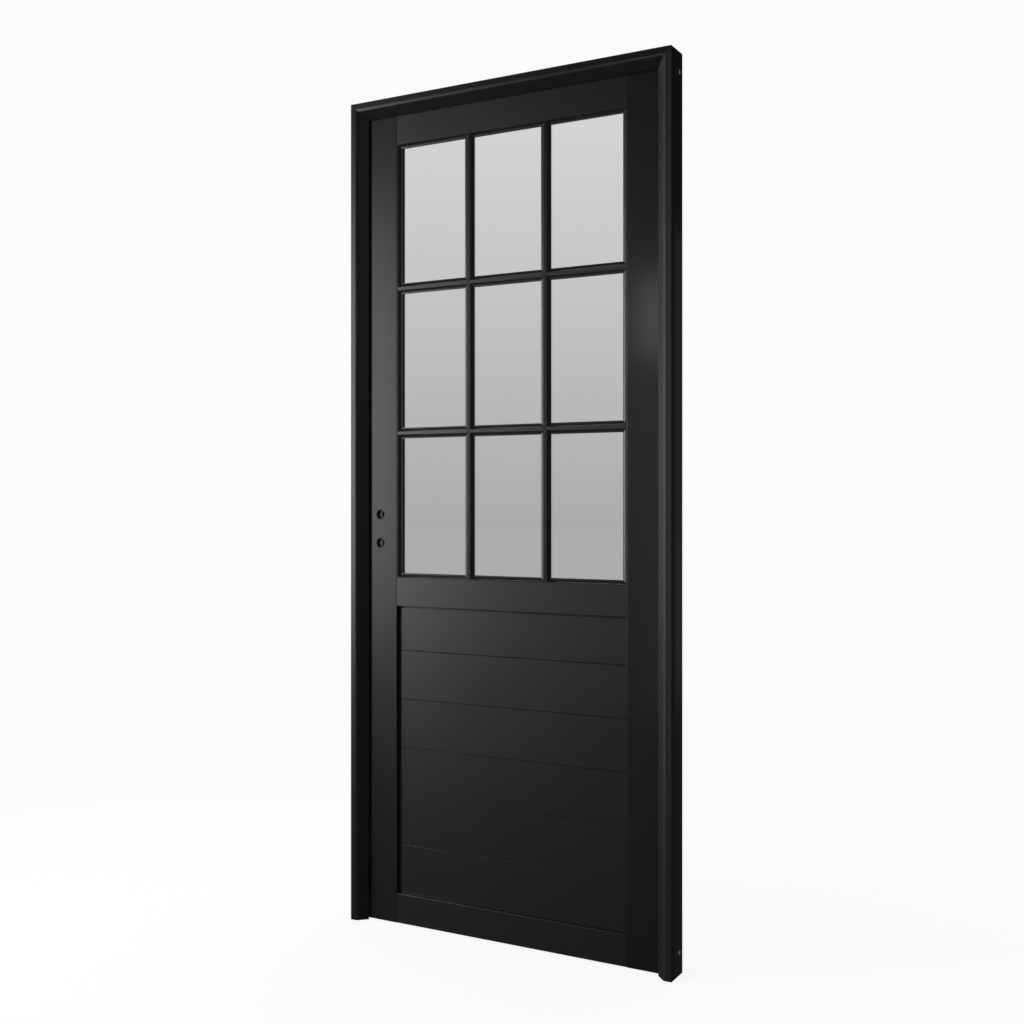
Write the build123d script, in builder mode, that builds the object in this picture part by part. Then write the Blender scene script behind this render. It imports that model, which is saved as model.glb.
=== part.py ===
from build123d import *
import os

# A glazed door set: a timber frame of two jambs and a head, and one leaf hung in it on three hinges.
# Millimetres. X runs along the wall, and X = 0 is the outer side face of the jamb that carries the hinges.
# Y runs through the wall: the moulded face looks to -Y, and Y = 0 is the middle of the frame's depth.
# Z is up, and Z = 0 is the floor under the jambs.

# Leaf
leaf_w = 830
leaf_h = 2040
leaf_t = 40
stile_w = 100
top_rail_h = 79
lock_rail_h = 72.5
bottom_rail_h = 74
lock_rail_foot = 797.5
arris_r = 1.5

# Gaps round the leaf
gap_hinge = 5
gap_lock = 7
gap_top = 7
gap_foot = 3
gap_stop = 5

# Frame: plain boards behind, and a moulded front with a flat, a rounded arris and a splay at 45 degrees
jamb_t = 15
head_t = 25
board_arris_r = 1
stop_w = 40
stop_d = 23
stop_lip = 1
splay_arris_r = 12
lip_arris_r = 0.8

# Screws in the outer side faces of the jambs, set in flush
screw_head_r = 5.5
screw_head_t = 3.5
screw_shank_r = 2.5
screw_shank_l = 8
screw_seat_r = 6
screw_seat_d = 4
screw_foot_inset = 50
screw_top_inset = 45
screw_deep_y = 51.5

# Tenons and the groove for the panel
tenon_l = 60
tenon_t = 12
tenon_shoulder = 12
mortise_spare = 2

# Lower panel, grooved to look like level boards; the top board is what is left of one
panel_t = 22
panel_gap = 1
panel_top_gap = 4
panel_tongue = 8
panel_groove_d = 10
board_count = 6
board_h = 122.5
vee_w = 2.5
vee_d = 1

# Glazing: a bead round the opening and bars, both with a hollow moulding, then panes and back beads
panes_across = 3
panes_up = 3
moulding_set_back = 1.25
hollow_w = 9
hollow_d = 5.5
moulding_toe = 1.5
moulding_flat = 0.5
bead_land = 2
bar_land_w = 8
glass_t = 6
pane_spare = 2
bar_web_w = 9
bar_depth = 22
back_bead_shy = 4
back_bead_splay = 4

# Lock bores, in the stile away from the hinges
bore_r = 12.5
bore_pitch = 72
bore_mid_z = 995.5
bore_backset = 50

# Hinges
hinge_h = 100
hinge_plate_w = 32
hinge_plate_t = 2
knuckle_r = 6.5
knuckle_stand_off = 7
knuckle_count = 5
knuckle_gap = 0.6
pin_r = 3.5
pin_clearance = 0.08
pin_head_h = 3
hinge_end_inset = 150

# Places worked out from the sizes above
frame_w = leaf_w + gap_hinge + gap_lock + 2 * jamb_t
frame_h = gap_foot + leaf_h + gap_top + head_t
frame_d = stop_d + gap_stop + leaf_t
front_y = -frame_d / 2
back_y = frame_d / 2
leaf_front_y = front_y + stop_d + gap_stop
leaf_back_y = leaf_front_y + leaf_t
leaf_mid_y = (leaf_front_y + leaf_back_y) / 2
hinge_edge_x = -jamb_t - gap_hinge
lock_edge_x = hinge_edge_x - leaf_w
leaf_foot_z = gap_foot
leaf_top_z = gap_foot + leaf_h
open_left_x = lock_edge_x + stile_w
open_right_x = hinge_edge_x - stile_w
open_w = open_right_x - open_left_x
open_mid_x = (open_left_x + open_right_x) / 2
lock_rail_z = leaf_foot_z + lock_rail_foot
glazing_foot_z = lock_rail_z + lock_rail_h
glazing_top_z = leaf_top_z - top_rail_h
glazing_h = glazing_top_z - glazing_foot_z
hollow_r = (hollow_w**2 + hollow_d**2) / (2 * hollow_d)
toe_depth = moulding_set_back + hollow_d
glass_depth = toe_depth + moulding_toe
bead_w = bead_land + hollow_w + moulding_flat
bar_half_w = bar_land_w / 2 + hollow_w + moulding_flat
glass_front_y = leaf_front_y + glass_depth
glass_back_y = glass_front_y + glass_t
hinge_axis_x = (hinge_edge_x - jamb_t) / 2
hinge_axis_y = back_y + knuckle_stand_off
hinge_feet = {
    "bottom": leaf_foot_z + hinge_end_inset,
    "middle": (leaf_foot_z + leaf_top_z - hinge_h) / 2,
    "top": leaf_top_z - hinge_end_inset - hinge_h,
}
plate_front_y = back_y - hinge_plate_w

os.makedirs("parts", exist_ok=True)


def keep(piece, label):
    """Label a finished piece and write it out."""
    piece.part.label = label
    export_step(piece.part, f"parts/{label}.step")


# Frame: moulded fronts, mitred at the head's ends

def front_section(place):
    """Outline of a moulded front; place(a, d) is a point a inward from the outer face and d deep."""
    splay_d = stop_d - stop_lip
    arris = place(stop_w - splay_d, 0)
    lip = place(stop_w, splay_d)
    with BuildSketch() as section:
        with BuildLine():
            Polyline(place(0, 0), arris, lip, place(stop_w, stop_d), place(0, stop_d), close=True)
        make_face()
        fillet(section.vertices().sort_by_distance(arris)[0], splay_arris_r)
        fillet(section.vertices().sort_by_distance(lip)[0], lip_arris_r)
    return section.sketch


def cut_mitre(outer_x, inward):
    """Cut the top of an upright front at 45 degrees, to meet the head's."""
    with BuildSketch(Plane.XZ.offset(-front_y)) as mitre:
        with BuildLine():
            Polyline(
                (outer_x, frame_h),
                (outer_x + inward * stop_w, frame_h),
                (outer_x + inward * stop_w, frame_h - stop_w),
                close=True,
            )
        make_face()
    extrude(mitre.sketch, amount=-stop_d, mode=Mode.SUBTRACT)


with BuildPart() as hinge_side_front:
    with BuildSketch(Plane.XY):
        add(front_section(lambda a, d: (-a, front_y + d)))
    extrude(amount=frame_h)
    cut_mitre(0, -1)
keep(hinge_side_front, "hinge_side_moulding")

with BuildPart() as lock_side_front:
    with BuildSketch(Plane.XY):
        add(front_section(lambda a, d: (a - frame_w, front_y + d)))
    extrude(amount=frame_h)
    cut_mitre(-frame_w, 1)
keep(lock_side_front, "lock_side_moulding")

with BuildPart() as head_front:
    with BuildSketch(Plane.YZ.offset(-frame_w)):
        add(front_section(lambda a, d: (front_y + d, frame_h - a)))
    extrude(amount=frame_w)
    add(hinge_side_front.part, mode=Mode.SUBTRACT)
    add(lock_side_front.part, mode=Mode.SUBTRACT)
keep(head_front, "head_moulding")


# Frame: boards behind the moulded fronts

board_d = frame_d - stop_d
screw_y = front_y + screw_deep_y
screw_heights = (screw_foot_inset, frame_h - screw_top_inset)


def jamb_board(outer_x, inward):
    """A jamb's board from its outer face inward, with rounded back arrises and seats for the screws."""
    with BuildSketch(Plane.XY) as board:
        with Locations((outer_x + inward * jamb_t / 2, stop_d + front_y)):
            Rectangle(jamb_t, board_d, align=(Align.CENTER, Align.MIN))
        fillet(board.vertices().group_by(Axis.Y)[-1], board_arris_r)
    extrude(board.sketch, amount=frame_h)
    for screw_z in screw_heights:
        with Locations(Location((outer_x, screw_y, screw_z), (0, 90 * inward, 0))):
            Cylinder(
                screw_seat_r, screw_seat_d,
                align=(Align.CENTER, Align.CENTER, Align.MIN), mode=Mode.SUBTRACT,
            )
            Cylinder(
                screw_shank_r, screw_seat_d + screw_shank_l,
                align=(Align.CENTER, Align.CENTER, Align.MIN), mode=Mode.SUBTRACT,
            )


def cut_hinge_seats(plate_x, into):
    """Sink the three hinge plates flush into an edge at plate_x; into is the way into the wood."""
    for foot_z in hinge_feet.values():
        with Locations((plate_x + into * hinge_plate_t / 2, back_y, foot_z)):
            Box(
                hinge_plate_t, 2 * hinge_plate_w, hinge_h,
                align=(Align.CENTER, Align.CENTER, Align.MIN), mode=Mode.SUBTRACT,
            )


with BuildPart() as hinge_jamb:
    jamb_board(0, -1)
    cut_hinge_seats(-jamb_t, 1)
keep(hinge_jamb, "hinge_jamb")

with BuildPart() as lock_jamb:
    jamb_board(-frame_w, 1)
keep(lock_jamb, "lock_jamb")

with BuildPart() as frame_head:
    with BuildSketch(Plane.YZ.offset(jamb_t - frame_w)) as head_board:
        with Locations((front_y + stop_d, frame_h)):
            Rectangle(board_d, head_t, align=(Align.MIN, Align.MAX))
        fillet(head_board.vertices().group_by(Axis.X)[-1], board_arris_r)
    extrude(amount=frame_w - 2 * jamb_t)
keep(frame_head, "frame_head")

with BuildPart() as frame_screws:
    for outer_x, inward in ((0, -1), (-frame_w, 1)):
        seat_x = outer_x + inward * screw_seat_d
        for screw_z in screw_heights:
            with Locations(Location((seat_x, screw_y, screw_z), (0, 90 * inward, 0))):
                Cylinder(screw_head_r, screw_head_t, align=(Align.CENTER, Align.CENTER, Align.MAX))
                Cylinder(screw_shank_r, screw_shank_l, align=(Align.CENTER, Align.CENTER, Align.MIN))
keep(frame_screws, "frame_screws")


# Leaf: stiles and rails

rail_spans = {
    "bottom_rail": (leaf_foot_z, bottom_rail_h),
    "lock_rail": (lock_rail_z, lock_rail_h),
    "top_rail": (glazing_top_z, top_rail_h),
}
panel_foot_z = leaf_foot_z + bottom_rail_h


def cut_stile_joints(shoulder_x, into):
    """Cut the mortises and the panel groove into a stile; into is the way into the wood."""
    for foot_z, height in rail_spans.values():
        with Locations((shoulder_x, leaf_mid_y, foot_z + height / 2)):
            Box(
                2 * (tenon_l + mortise_spare), tenon_t, height - 2 * tenon_shoulder,
                mode=Mode.SUBTRACT,
            )
    with Locations((shoulder_x, leaf_mid_y, (panel_foot_z + lock_rail_z) / 2)):
        Box(
            2 * panel_groove_d, tenon_t, lock_rail_z - panel_foot_z + 2 * panel_groove_d,
            mode=Mode.SUBTRACT,
        )


def stile_blank(edge_x):
    """A full-height stile with rounded arrises, from edge_x towards +X."""
    with BuildSketch(Plane.XY.offset(leaf_foot_z)) as blank:
        with Locations((edge_x + stile_w / 2, leaf_mid_y)):
            RectangleRounded(stile_w, leaf_t, arris_r)
    extrude(blank.sketch, amount=leaf_h)


with BuildPart() as hinge_stile:
    stile_blank(open_right_x)
    cut_stile_joints(open_right_x, 1)
    cut_hinge_seats(hinge_edge_x, -1)
keep(hinge_stile, "hinge_stile")

with BuildPart() as lock_stile:
    stile_blank(lock_edge_x)
    cut_stile_joints(open_left_x, -1)
    with Locations(Plane.XZ.offset(-leaf_mid_y)):
        with Locations((lock_edge_x + bore_backset, bore_mid_z)):
            with GridLocations(0, bore_pitch, 1, 2):
                Cylinder(bore_r, 2 * leaf_t, mode=Mode.SUBTRACT)
keep(lock_stile, "lock_stile")

for rail_name, (foot_z, height) in rail_spans.items():
    with BuildPart() as rail:
        with BuildSketch(Plane.YZ.offset(open_left_x)):
            with Locations((leaf_mid_y, foot_z + height / 2)):
                RectangleRounded(leaf_t, height, arris_r)
        extrude(amount=open_w)
        with Locations((open_mid_x, leaf_mid_y, foot_z + height / 2)):
            Box(open_w + 2 * tenon_l, tenon_t, height - 2 * tenon_shoulder)
        if rail_name == "bottom_rail":
            with Locations((open_mid_x, leaf_mid_y, panel_foot_z)):
                Box(open_w, tenon_t, 2 * panel_groove_d, mode=Mode.SUBTRACT)
        if rail_name == "lock_rail":
            with Locations((open_mid_x, leaf_mid_y, lock_rail_z)):
                Box(open_w, tenon_t, 2 * panel_groove_d, mode=Mode.SUBTRACT)
    keep(rail, rail_name)


# Leaf: lower panel, a thick face of boards with a tongue all round that stands in the groove

tongue_foot_z = panel_foot_z - panel_groove_d
tongue_h = lock_rail_z + panel_tongue - tongue_foot_z
boards_h = lock_rail_z - panel_foot_z

with BuildPart() as lower_panel:
    with Locations((open_mid_x, leaf_mid_y, tongue_foot_z)):
        Box(open_w + 2 * panel_tongue, tenon_t, tongue_h, align=(Align.CENTER, Align.CENTER, Align.MIN))
    with Locations((open_mid_x, leaf_mid_y, panel_foot_z + panel_gap)):
        Box(
            open_w - 2 * panel_gap, panel_t, boards_h - panel_gap - panel_top_gap,
            align=(Align.CENTER, Align.CENTER, Align.MIN),
        )
    for side in (-1, 1):
        face_y = leaf_mid_y + side * panel_t / 2
        for board in range(1, board_count):
            vee_z = panel_foot_z + board * board_h
            with BuildSketch(Plane.YZ.offset(open_left_x)):
                with BuildLine():
                    Polyline(
                        (face_y + side * vee_d, vee_z - vee_w),
                        (face_y - side * vee_d, vee_z),
                        (face_y + side * vee_d, vee_z + vee_w),
                        close=True,
                    )
                make_face()
            extrude(amount=open_w, mode=Mode.SUBTRACT)
keep(lower_panel, "lower_panel")


# Leaf: glazing beads, bars and panes

def hollow_section(land):
    """A moulding over the glass: a land, a hollow, a flat and a toe. x runs inward and y runs deeper."""
    hollow_end = (land + hollow_w, toe_depth)
    foot = (land + hollow_w + moulding_flat, glass_depth)
    with BuildSketch() as section:
        with BuildLine():
            Line((0, moulding_set_back), (land, moulding_set_back))
            RadiusArc((land, moulding_set_back), hollow_end, hollow_r)
            Polyline(hollow_end, (foot[0], toe_depth), foot, (0, glass_depth), (0, moulding_set_back))
        make_face()
    return section.sketch


def bar_section():
    """A whole bar: the moulding on both sides of its middle, and the web between the panes."""
    with BuildSketch() as section:
        add(hollow_section(bar_land_w / 2))
        mirror(about=Plane.YZ)
        with Locations((0, toe_depth)):
            Rectangle(bar_web_w, bar_depth - toe_depth, align=(Align.CENTER, Align.MIN))
    return section.sketch


across_level = Plane(origin=(open_mid_x, leaf_front_y, glazing_foot_z), x_dir=(0, 0, 1), z_dir=(-1, 0, 0))

with BuildPart() as glazing_bead:
    with BuildLine(Plane.XZ.offset(-leaf_front_y)) as opening_edge:
        Polyline(
            (open_mid_x, glazing_foot_z), (open_right_x, glazing_foot_z), (open_right_x, glazing_top_z),
            (open_left_x, glazing_top_z), (open_left_x, glazing_foot_z), (open_mid_x, glazing_foot_z),
        )
    with BuildSketch(across_level):
        add(hollow_section(bead_land))
    sweep(path=opening_edge.wires()[0], transition=Transition.RIGHT)
keep(glazing_bead, "glazing_bead")

pane_pitch_x = open_w / panes_across
pane_pitch_z = glazing_h / panes_up
column_names = ["left", "centre", "right"]
row_names = ["lower", "middle", "upper"]

upright_bars = []
for column in range(1, panes_across):
    bar_x = open_left_x + column * pane_pitch_x
    start = Plane(origin=(bar_x, leaf_front_y, glazing_foot_z), x_dir=(1, 0, 0), z_dir=(0, 0, 1))
    with BuildPart() as upright_bar:
        with BuildSketch(start):
            add(bar_section())
        extrude(amount=glazing_h)
        add(glazing_bead.part, mode=Mode.SUBTRACT)
    upright_bars.append(upright_bar.part)
    keep(upright_bar, f"upright_bar_{'left' if column == 1 else 'right'}")

for row in range(1, panes_up):
    bar_z = glazing_foot_z + row * pane_pitch_z
    for column in range(panes_across):
        first_x = open_left_x + column * pane_pitch_x
        start = Plane(
            origin=(first_x + pane_pitch_x, leaf_front_y, bar_z), x_dir=(0, 0, 1), z_dir=(-1, 0, 0),
        )
        with BuildPart() as cross_bar:
            with BuildSketch(start):
                add(bar_section())
            extrude(amount=pane_pitch_x)
            add(glazing_bead.part, mode=Mode.SUBTRACT)
            for upright in upright_bars:
                add(upright, mode=Mode.SUBTRACT)
        keep(cross_bar, f"cross_bar_{row_names[row]}_{column_names[column]}")


def cell_edges(low, high, count, index, spare):
    """Edges of one pane's rebate between webs or opening sides, less the spare all round."""
    pitch = (high - low) / count
    first = low + index * pitch + (bar_web_w / 2 if index > 0 else 0)
    last = low + (index + 1) * pitch - (bar_web_w / 2 if index < count - 1 else 0)
    return first + spare, last - spare


def hole_edges(low, high, count, index):
    """Edges of the hole in one cell's back bead, which stays hidden behind the mouldings."""
    pitch = (high - low) / count
    first = low + index * pitch + (bar_half_w if index > 0 else bead_w) - back_bead_shy
    last = low + (index + 1) * pitch - (bar_half_w if index < count - 1 else bead_w) + back_bead_shy
    return first, last


for row in range(panes_up):
    with BuildPart() as back_beads:
        for column in range(panes_across):
            x0, x1 = cell_edges(open_left_x, open_right_x, panes_across, column, 0)
            z0, z1 = cell_edges(glazing_foot_z, glazing_top_z, panes_up, row, 0)
            hx0, hx1 = hole_edges(open_left_x, open_right_x, panes_across, column)
            hz0, hz1 = hole_edges(glazing_foot_z, glazing_top_z, panes_up, row)
            with BuildSketch(Plane.XZ.offset(-glass_back_y)):
                with Locations(((x0 + x1) / 2, (z0 + z1) / 2)):
                    Rectangle(x1 - x0, z1 - z0)
                with Locations(((hx0 + hx1) / 2, (hz0 + hz1) / 2)):
                    Rectangle(hx1 - hx0, hz1 - hz0, mode=Mode.SUBTRACT)
            extrude(amount=-(bar_depth - glass_depth - glass_t))
        back_faces = back_beads.faces().filter_by(Plane.XZ).group_by(Axis.Y)[-1]
        hole_wires = [wire for face in back_faces for wire in face.inner_wires()]
        chamfer([edge for wire in hole_wires for edge in wire.edges()], back_bead_splay)
    keep(back_beads, f"back_beads_{row_names[row]}")

    for column in range(panes_across):
        x0, x1 = cell_edges(open_left_x, open_right_x, panes_across, column, pane_spare)
        z0, z1 = cell_edges(glazing_foot_z, glazing_top_z, panes_up, row, pane_spare)
        with BuildPart() as pane:
            with Locations(((x0 + x1) / 2, (glass_front_y + glass_back_y) / 2, (z0 + z1) / 2)):
                Box(x1 - x0, glass_t, z1 - z0)
        keep(pane, f"pane_{row_names[row]}_{column_names[column]}")


# Hinges: a plate let into each edge, knuckles taken in turn by the two plates, and a pin

knuckle_h = hinge_h / knuckle_count


def hinge_half(foot_z, plate_mid_x, first_knuckle, pin_hole_r):
    """One half of a hinge: its plate, the neck to the axis, and every second knuckle."""
    neck_len = hinge_axis_y - back_y
    with Locations((plate_mid_x, plate_front_y, foot_z)):
        Box(hinge_plate_t, hinge_plate_w, hinge_h, align=(Align.CENTER, Align.MIN, Align.MIN))
    for knuckle in range(first_knuckle, knuckle_count, 2):
        knuckle_z = foot_z + knuckle * knuckle_h + knuckle_gap / 2
        height = knuckle_h - knuckle_gap
        with Locations((plate_mid_x, back_y, knuckle_z)):
            Box(hinge_plate_t, neck_len, height, align=(Align.CENTER, Align.MIN, Align.MIN))
        with Locations((hinge_axis_x, hinge_axis_y, knuckle_z)):
            Cylinder(knuckle_r, height, align=(Align.CENTER, Align.CENTER, Align.MIN))
    with Locations((hinge_axis_x, hinge_axis_y, foot_z)):
        Cylinder(
            pin_hole_r, hinge_h, align=(Align.CENTER, Align.CENTER, Align.MIN), mode=Mode.SUBTRACT,
        )


for place_name, foot_z in hinge_feet.items():
    with BuildPart() as frame_plate:
        hinge_half(foot_z, -jamb_t + hinge_plate_t / 2, 0, pin_r)
    keep(frame_plate, f"hinge_{place_name}_frame_plate")

    with BuildPart() as leaf_plate:
        hinge_half(foot_z, hinge_edge_x - hinge_plate_t / 2, 1, pin_r + pin_clearance)
    keep(leaf_plate, f"hinge_{place_name}_leaf_plate")

    with BuildPart() as hinge_pin:
        with Locations((hinge_axis_x, hinge_axis_y, foot_z)):
            Cylinder(pin_r, hinge_h, align=(Align.CENTER, Align.CENTER, Align.MIN))
        with Locations((hinge_axis_x, hinge_axis_y, foot_z + hinge_h)):
            Cylinder(knuckle_r, pin_head_h, align=(Align.CENTER, Align.CENTER, Align.MIN))
    keep(hinge_pin, f"hinge_{place_name}_pin")
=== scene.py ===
import math

import bmesh
import bpy
from mathutils import Matrix, Vector


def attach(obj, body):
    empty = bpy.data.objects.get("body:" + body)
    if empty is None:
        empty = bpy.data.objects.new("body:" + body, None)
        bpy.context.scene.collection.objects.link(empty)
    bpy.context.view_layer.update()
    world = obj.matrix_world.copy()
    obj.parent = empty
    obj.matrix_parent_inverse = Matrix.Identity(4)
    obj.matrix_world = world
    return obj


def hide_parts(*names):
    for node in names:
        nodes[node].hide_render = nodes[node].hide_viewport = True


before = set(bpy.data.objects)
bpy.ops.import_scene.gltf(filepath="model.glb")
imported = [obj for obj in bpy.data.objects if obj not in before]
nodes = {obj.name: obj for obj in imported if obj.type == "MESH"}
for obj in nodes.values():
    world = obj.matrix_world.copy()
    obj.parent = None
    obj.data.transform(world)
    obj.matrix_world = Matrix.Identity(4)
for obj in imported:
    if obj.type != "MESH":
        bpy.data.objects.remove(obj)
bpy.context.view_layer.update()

# A black glazed door set with satin paint, clear panes, black hinges and bright screws in its jambs.
# Metres, in the frame of the CAD: X = 0 is the hinge jamb's outer side face and Z = 0 is the floor.

frame_width = 0.872
jamb_inner_x = -0.015
leaf_edge_x = -0.020
leaf_front_y = -0.006
leaf_back_y = 0.034

# The two lock bores, and how deep paint has run into them from the front and from the back
bore_x = -0.800
bore_heights = (0.9595, 1.0315)
bore_radius = 0.0125
bore_spare = 1.04
bore_front_paint = 0.016
bore_back_paint = 0.013

# Screws through the jambs' outer side faces
frame_screw_y = 0.0175
frame_screw_heights = (0.050, 2.030)
frame_screw_seat = 0.004
frame_screw = {
    "head_r": 0.0055, "head_h": 0.0035, "crown": 0.0014, "arm": 0.0058, "shank_r": 0.0025, "shank_l": 0.008,
}

# Screws in the hinge plates; each hole is given above the plate's foot and back from its front edge
hinge_feet = (0.153, 0.973, 1.793)
hinge_plate_y = 0.002
plate_holes = ((0.012, 0.022), (0.037, 0.010), (0.063, 0.010), (0.088, 0.022))
plate_screw_sunk = 0.0012
plate_screw = {"head_r": 0.0042, "head_h": 0.0015, "crown": 0.0004, "arm": 0.0046}


# Shader maths

class Signal:
    """A shader socket that Python's operators work on. Each one adds the Math node that it stands for."""

    def __init__(self, board, socket):
        self.board = board
        self.socket = socket

    def maths(self, operation, *others):
        return self.board.add("Math", [self, *others], operation=operation)

    def __add__(self, other):
        return self.maths("ADD", other)

    def __sub__(self, other):
        return self.maths("SUBTRACT", other)

    def __rsub__(self, other):
        return self.board.add("Math", [other, self], operation="SUBTRACT")

    def __mul__(self, other):
        return self.maths("MULTIPLY", other)

    def __truediv__(self, other):
        return self.maths("DIVIDE", other)

    def __pow__(self, other):
        return self.maths("POWER", other)

    def __lt__(self, other):
        return self.maths("LESS_THAN", other)

    def __gt__(self, other):
        return self.maths("GREATER_THAN", other)

    def __abs__(self):
        return self.maths("ABSOLUTE")

    def larger(self, other):
        return self.maths("MAXIMUM", other)

    def smaller(self, other):
        return self.maths("MINIMUM", other)

    __radd__ = __add__
    __rmul__ = __mul__


class Board:
    """The nodes of one material or of the world."""

    def __init__(self, tree):
        self.tree = tree
        tree.nodes.clear()

    def add(self, kind, inputs=(), output=0, **settings):
        """Add a node of this kind, set it, feed its inputs, and give one of its outputs."""
        node = self.tree.nodes.new("ShaderNode" + kind)
        for name, value in settings.items():
            setattr(node, name, value)
        pairs = inputs.items() if isinstance(inputs, dict) else enumerate(inputs)
        for name, value in pairs:
            if isinstance(value, Signal):
                self.tree.links.new(value.socket, node.inputs[name])
            else:
                node.inputs[name].default_value = value
        return Signal(self, node.outputs[output]) if node.outputs else node

    def place(self):
        """Where a point is on the object, in metres."""
        return self.add("TexCoord", output="Object")

    def stretch(self, vector, scale):
        return self.add("VectorMath", [vector, scale], operation="MULTIPLY")

    def noise(self, vector, scale, detail=2):
        return self.add("TexNoise", {"Vector": vector, "Scale": scale, "Detail": detail})

    def axes(self, vector):
        """The three numbers of a vector."""
        node = self.add("SeparateXYZ", [vector]).socket.node
        return [Signal(self, output) for output in node.outputs]

    def blend(self, share, low, high):
        """The colour low where share is 0, and high where it is 1."""
        return self.add("Mix", {0: share, 6: low, 7: high}, output=2, data_type="RGBA")

    def bump(self, height):
        """A relief whose height is in metres."""
        return self.add("Bump", {"Strength": 1.0, "Distance": 1.0, "Height": height})


def material(name, build):
    """A material whose surface is what build(board) gives."""
    made = bpy.data.materials.new(name)
    made.use_nodes = True
    board = Board(made.node_tree)
    board.add("OutputMaterial", {"Surface": build(board)})
    return made


def grey(level):
    return (level, level, level, 1)


# Finishes: noise scales are in waves per metre, reliefs in metres and shades are of grey from 0 to 1

black = (0.0100, 0.0100, 0.0103, 1)
black_worn = (0.0135, 0.0135, 0.0137, 1)
primer = (0.62, 0.61, 0.59, 1)
primer_roughness = 0.85
glass_tint = (0.93, 0.945, 0.94, 1)
glass_lets_through = (0.86, 0.88, 0.87, 1)

grain_across = 700
grain_along = 18
grain_relief = 0.000008
roller_scale = 420
roller_relief = 0.000012
cloud_scale = 5
cloud_in_colour = 0.6
sheen_spread = 0.03
coat_roughness = 0.14
upright_paint = {"roughness": 0.33, "shine": 0.5, "coat": 0.5}
level_paint = {"roughness": 0.37, "shine": 0.8, "coat": 0.5}
duller_paint = {"roughness": 0.48, "shine": 0.72, "coat": 0.0}

glass_wave_scale = 3
glass_wave = 0.0002
glass_ior = 1.5

steel_shades = (0.012, 0.02)
steel_roughness = 0.3
steel_roughness_spread = 0.12
steel_mottle_scale = 900
zinc_shades = (0.8, 0.92)
zinc_metallic = 0.5
zinc_roughness = 0.28
zinc_roughness_spread = 0.18
zinc_mottle_scale = 1500
metal_relief = 0.00001


def bare_bores(board, here):
    """1 inside the lock bores, past the paint that has run in from both faces, and 0 elsewhere."""
    x, y, z = board.axes(here)
    nearest = abs(z - bore_heights[0]).smaller(abs(z - bore_heights[1]))
    off_axis = ((x - bore_x) ** 2 + nearest ** 2) ** 0.5
    inside = off_axis < bore_radius * bore_spare
    return inside * (y > leaf_front_y + bore_front_paint) * (y < leaf_back_y - bore_back_paint)


def painted(along, look, bored=False):
    """Satin black paint over timber whose grain runs along one axis: a fine relief of grain and roller."""
    def build(board):
        here = board.place()
        scale = [grain_across] * 3
        scale["XYZ".index(along)] = grain_along
        grain = board.noise(board.stretch(here, scale), 1, 3)
        roller = board.noise(here, roller_scale, 2)
        cloud = board.noise(here, cloud_scale, 3)
        relief = grain * grain_relief + roller * roller_relief
        wear = cloud * cloud_in_colour + grain * (1 - cloud_in_colour)
        colour = board.blend(wear, black, black_worn)
        roughness = look["roughness"] + sheen_spread * cloud + sheen_spread * grain
        if bored:
            bare = bare_bores(board, here)
            colour = board.blend(bare, colour, primer)
            roughness = roughness.larger(bare * primer_roughness)
        return board.add("BsdfPrincipled", {
            "Base Color": colour,
            "Roughness": roughness,
            "Specular IOR Level": look["shine"],
            "Coat Weight": look["coat"],
            "Coat Roughness": coat_roughness,
            "Normal": board.bump(relief),
        })
    return build


def clear_glass(board):
    """Float glass, which lets the lamps through to what is behind it."""
    here = board.place()
    wave = board.noise(here, glass_wave_scale, 2) * glass_wave
    glass = board.add("BsdfPrincipled", {
        "Base Color": glass_tint,
        "Roughness": 0.0,
        "IOR": glass_ior,
        "Transmission Weight": 1.0,
        "Normal": board.bump(wave),
    })
    lamp_ray = board.add("LightPath", output="Is Shadow Ray")
    through = board.add("BsdfTransparent", {"Color": glass_lets_through})
    return board.add("MixShader", [lamp_ray, glass, through])


def black_steel(board):
    """Steel with a thin satin black coat."""
    here = board.place()
    mottle = board.noise(here, steel_mottle_scale, 2)
    return board.add("BsdfPrincipled", {
        "Base Color": board.blend(mottle, *map(grey, steel_shades)),
        "Roughness": steel_roughness + steel_roughness_spread * mottle,
        "Normal": board.bump(mottle * metal_relief),
    })


def bright_zinc(board):
    """Zinc plating on a screw, faintly mottled."""
    here = board.place()
    mottle = board.noise(here, zinc_mottle_scale, 2)
    return board.add("BsdfPrincipled", {
        "Base Color": board.blend(mottle, *map(grey, zinc_shades)),
        "Metallic": zinc_metallic,
        "Roughness": zinc_roughness + zinc_roughness_spread * mottle,
        "Normal": board.bump(mottle * metal_relief),
    })


paint_upright = material("paint_grain_upright", painted("Z", upright_paint))
paint_duller = material("paint_grain_upright_duller", painted("Z", duller_paint))
paint_bored = material("paint_grain_upright_bored", painted("Z", upright_paint, bored=True))
paint_level = material("paint_grain_level", painted("X", level_paint))
paint_head = material("paint_grain_level_head", painted("X", upright_paint))
glass = material("clear_glass", clear_glass)
steel = material("black_steel", black_steel)
zinc = material("bright_zinc", bright_zinc)

level_names = ("rail", "cross_bar", "lower_panel")


def finish_for(name):
    if name.startswith("pane_"):
        return glass
    if name == "frame_screws":
        return zinc
    if name == "lock_stile":
        return paint_bored
    if name.endswith(("_plate", "_pin")):
        return steel
    if name == "hinge_side_moulding":
        return paint_duller
    if name in ("frame_head", "head_moulding"):
        return paint_head
    if any(word in name for word in level_names):
        return paint_level
    return paint_upright


for name, node in nodes.items():
    node.data.materials.clear()
    node.data.materials.append(finish_for(name))


# Screws

# The cross's width is a share of its span, its depth one of the head's height, and each taper one of a width.
cross_width = 0.28
cross_depth = 0.6
cross_taper = 0.8
tip_taper = 0.6
smooth_below = 35


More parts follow.
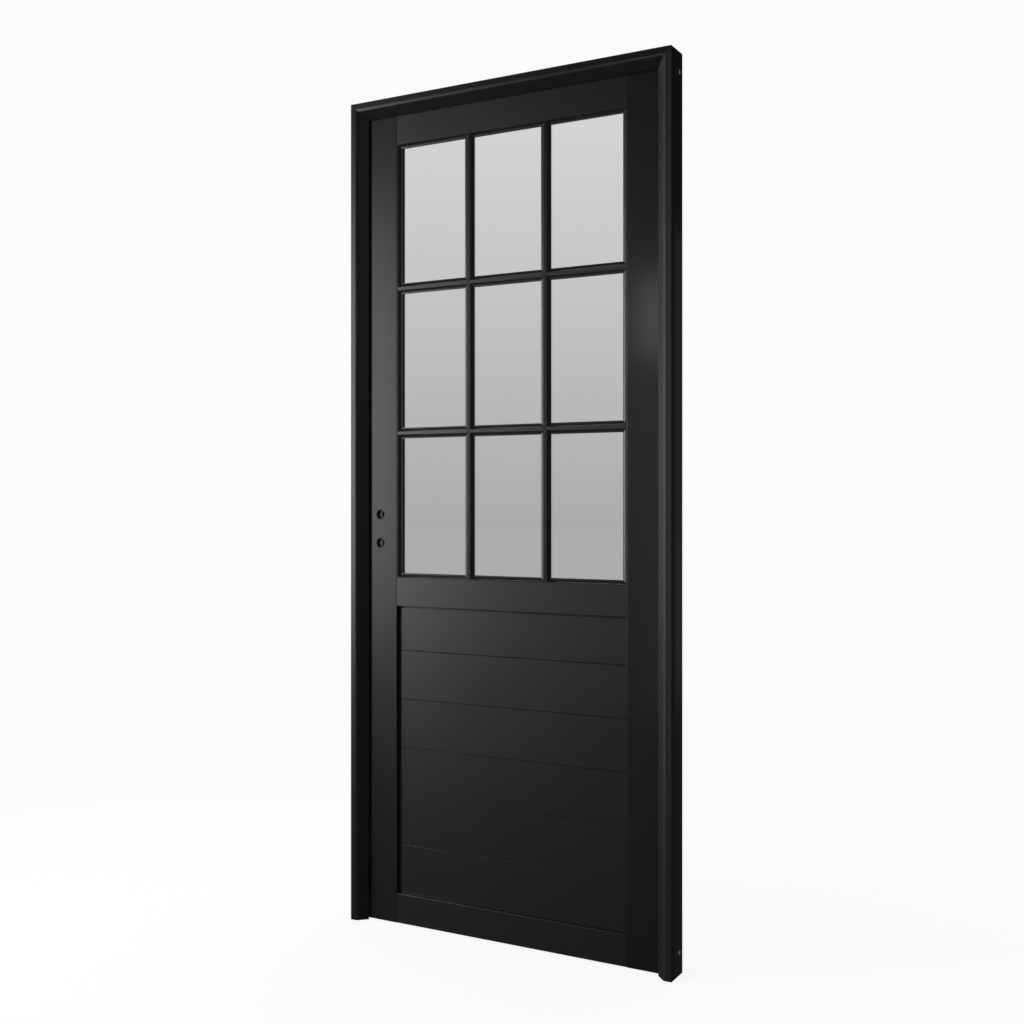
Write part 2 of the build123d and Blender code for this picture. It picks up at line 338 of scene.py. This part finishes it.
def add_screw(mesh, place, head_r, head_h, crown, arm, shank_r=0, shank_l=0):
    """A screw with a crowned head and a cross in it; place puts its seat and points its head along +Z.

    head_r and head_h are the head's radius and height, crown is how much of its edge is rounded, and arm is
    the span of the cross. With no shank_r the screw is a head alone.
    """
    others = set(mesh.verts)
    bmesh.ops.create_cone(
        mesh, cap_ends=True, segments=32, radius1=head_r, radius2=head_r, depth=head_h,
        matrix=Matrix.Translation((0, 0, head_h / 2)),
    )

    def own_faces():
        return [face for face in mesh.faces if face.verts[0] not in others]

    def all_above(item, share):
        return all(vert.co.z > head_h * share for vert in item.verts)

    rim = {edge for face in own_faces() for edge in face.edges if all_above(edge, 0.9)}
    bmesh.ops.bevel(mesh, geom=list(rim), offset=crown, segments=4, affect="EDGES", profile=0.5, material=-1)
    wide = arm * cross_width
    for axis in (0, 1):
        for off in (-arm / 2, -wide / 2, wide / 2, arm / 2):
            top = [face for face in own_faces() if all_above(face, 0.999)]
            edges = {edge for face in top for edge in face.edges}
            corners = {vert for face in top for vert in face.verts}
            normal = [0, 0, 0]
            normal[axis] = 1
            bmesh.ops.bisect_plane(
                mesh, geom=[*top, *edges, *corners], dist=arm * 0.001,
                plane_co=[off * part for part in normal], plane_no=normal,
            )

    def in_cross(face):
        x_off, y_off = (abs(value) for value in face.calc_center_median()[:2])
        return all_above(face, 0.999) and min(x_off, y_off) < wide / 2 and max(x_off, y_off) < arm / 2

    cross = [face for face in own_faces() if in_cross(face)]
    sunk = bmesh.ops.extrude_face_region(mesh, geom=cross)
    floor_verts = [item for item in sunk["geom"] if isinstance(item, bmesh.types.BMVert)]
    bmesh.ops.delete(mesh, geom=[face for face in cross if face.is_valid], context="FACES_ONLY")
    bmesh.ops.translate(mesh, verts=floor_verts, vec=(0, 0, -head_h * cross_depth))
    bmesh.ops.scale(mesh, verts=floor_verts, vec=(cross_taper, cross_taper, 1))
    if shank_r:
        bmesh.ops.create_cone(
            mesh, cap_ends=True, segments=24, radius1=shank_r * tip_taper, radius2=shank_r, depth=shank_l,
            matrix=Matrix.Translation((0, 0, -shank_l / 2)),
        )
    bmesh.ops.transform(mesh, matrix=place, verts=[vert for vert in mesh.verts if vert not in others])


def facing(at, way):
    """A place at a point, with +Z turned to look along +X or -X."""
    return Matrix.Translation(at) @ Matrix.Rotation(math.radians(90 * way), 4, "Y")


def piece(name, mesh, finish, body):
    """A finished mesh as an object that moves with a body of the CAD."""
    bmesh.ops.recalc_face_normals(mesh, faces=mesh.faces)
    data = bpy.data.meshes.new(name)
    mesh.to_mesh(data)
    mesh.free()
    data.shade_smooth()
    data.set_sharp_from_angle(angle=math.radians(smooth_below))
    data.materials.append(finish)
    made = bpy.data.objects.new(name, data)
    bpy.context.scene.collection.objects.link(made)
    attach(made, body)
    return made


wall_screws = bmesh.new()
for outer_x, way in ((0, 1), (-frame_width, -1)):
    for height in frame_screw_heights:
        seat = facing((outer_x - way * frame_screw_seat, frame_screw_y, height), way)
        add_screw(wall_screws, seat, **frame_screw)
wall_screws = piece("frame_screws_with_crosses", wall_screws, zinc, "frame")
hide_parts("frame_screws")

for body, plate_x, way in (("frame", jamb_inner_x, -1), ("leaf", leaf_edge_x, 1)):
    plate_screws = bmesh.new()
    for foot in hinge_feet:
        for up, across in plate_holes:
            seat = facing((plate_x - way * plate_screw_sunk, hinge_plate_y + across, foot + up), way)
            add_screw(plate_screws, seat, **plate_screw)
    piece("hinge_screws_in_" + body, plate_screws, steel, body)


# Studio: a pale floor, white all round for the camera, and soft lamps

room_white = 0.965
door_middle_x = -0.44
floor_half = 40
floor_shades = (0.38, 0.42)
floor_fleck_scale = 60
floor_reach = 2.6
floor_fade = 0.6
floor_lit = 0.19
floor_shade = 0.5
floor_in_gloss = 0.03
glass_view_foot = 0.46
glass_view_rise = 0.9
room_in_gloss = 0.01
front_right_in_gloss = 0.1
front_right_from = 0.4
front_right_fade = 3
room_light = 0.4


def floor_finish(board):
    """Pale floor that the camera sees as white, with the object's shadow kept near it."""
    here = board.place()
    x, y, z = board.axes(here)
    fleck = board.noise(here, floor_fleck_scale, 2)
    pale = board.add("BsdfDiffuse", {"Color": board.blend(fleck, *map(grey, floor_shades))})
    dim = board.add("Emission", {"Color": grey(floor_in_gloss), "Strength": 1.0})
    behind = board.add("Emission", {"Color": grey(glass_view_foot), "Strength": 1.0})
    seen = board.add("LightPath", output="Is Camera Ray")
    glossy = board.add("LightPath", output="Is Glossy Ray")
    through = board.add("LightPath", output="Is Transmission Ray")
    away = ((x - door_middle_x) ** 2 + y ** 2) ** 0.5
    near = ((floor_reach - away) * floor_fade).larger(0).smaller(1)
    # The white is as bright as makes the two together, where the lamps light the floor, as white as the room.
    white_share = 1 - floor_shade * near
    evened = (room_white - floor_lit * (1 - white_share)) / white_share
    white = board.add("Emission", {"Color": evened, "Strength": 1.0})
    camera_mix = board.add("MixShader", [seen * white_share, pale, white])
    gloss_mix = board.add("MixShader", [glossy, camera_mix, dim])
    return board.add("MixShader", [through * (1 - seen), gloss_mix, behind])


floor_mesh = bmesh.new()
bmesh.ops.create_grid(floor_mesh, x_segments=1, y_segments=1, size=floor_half)
floor_data = bpy.data.meshes.new("floor")
floor_mesh.to_mesh(floor_data)
floor_mesh.free()
floor = bpy.data.objects.new("floor", floor_data)
bpy.context.scene.collection.objects.link(floor)
floor.data.materials.append(material("pale_floor", floor_finish))


def build_world():
    """White for the camera, soft greys through the glass, and a dim room for gloss and for light."""
    world = bpy.data.worlds.new("studio")
    bpy.context.scene.world = world
    world.use_nodes = True
    board = Board(world.node_tree)
    x, y, z = board.axes(board.add("TexCoord", output="Generated"))
    seen = board.add("LightPath", output="Is Camera Ray")
    through = board.add("LightPath", output="Is Transmission Ray")
    glossy = board.add("LightPath", output="Is Glossy Ray")
    behind_glass = glass_view_foot + glass_view_rise * z
    front_right = ((x - front_right_from) * front_right_fade).larger(0).smaller(1) * (y < 0)
    in_gloss = room_in_gloss + front_right_in_gloss * front_right
    others = 1 - seen.larger(through).larger(glossy)
    strength = seen * room_white + (1 - seen) * through * behind_glass + glossy * (1 - seen) * in_gloss
    strength = strength + others * room_light
    shine = board.add("Background", {"Color": grey(1.0), "Strength": strength})
    board.add("OutputWorld", {"Surface": shine})


build_world()


def softbox(name, at, towards, width, height, level):
    """A soft rectangular lamp; level is how bright its face is, where 1 is white."""
    data = bpy.data.lights.new(name, "AREA")
    data.shape = "RECTANGLE"
    data.size = width
    data.size_y = height
    data.energy = level * math.pi * width * height
    lamp = bpy.data.objects.new(name, data)
    lamp.location = at
    lamp.rotation_euler = (Vector(towards) - Vector(at)).to_track_quat("-Z", "Y").to_euler()
    lamp.visible_camera = False
    lamp.visible_transmission = False
    bpy.context.scene.collection.objects.link(lamp)


# Four tall ones stand at the front left, from bright to faint. Two narrow ones light the hinge side's face,
# and the last two light the jamb's side face and the back.
softbox("key_softbox", (-3.10, -2.43, 1.50), (-0.8, 0, 1.50), 0.36, 2.1, 14.5)
softbox("second_softbox", (-3.5, -2.1, 1.3), (-0.8, 0, 1.3), 0.6, 1.8, 3.5)
softbox("third_softbox", (-3.85, -1.5, 1.3), (-0.8, 0, 1.3), 0.8, 1.8, 2.5)
softbox("fourth_softbox", (-4.1, -0.8, 1.3), (-0.8, 0, 1.3), 0.7, 2.2, 1.5)
softbox("small_softbox", (-1.15, -2.7, 1.90), (-0.09, 0, 1.5), 0.15, 0.36, 4)
softbox("low_softbox", (-1.15, -2.7, 0.85), (-0.09, 0, 0.9), 0.12, 1.5, 0.5)
softbox("side_softbox", (1.2, 3.0, 1.25), (0, 0, 1.25), 0.8, 2.2, 0.075)
softbox("back_softbox", (-1.5, 3.4, 1.9), (-0.44, 0, 1.1), 1.4, 1.4, 1.5)


# Camera: the photo's, level and turned to the left, with its horizon a little above the middle

focal_px = 1258.8
image_px = 1024
horizon_px = 501.36
camera_turn = 28.974
camera_place = (1.0409, -2.6414, 1.0648)
camera_data = bpy.data.cameras.new("camera")
camera_data.sensor_width = 36
camera_data.lens = focal_px * camera_data.sensor_width / image_px
camera_data.shift_y = (horizon_px - image_px / 2) / image_px
camera = bpy.data.objects.new("camera", camera_data)
camera.location = camera_place
camera.rotation_euler = (math.radians(90), 0, math.radians(camera_turn))
bpy.context.scene.collection.objects.link(camera)
bpy.context.scene.camera = camera

bpy.context.scene.view_settings.view_transform = "Standard"
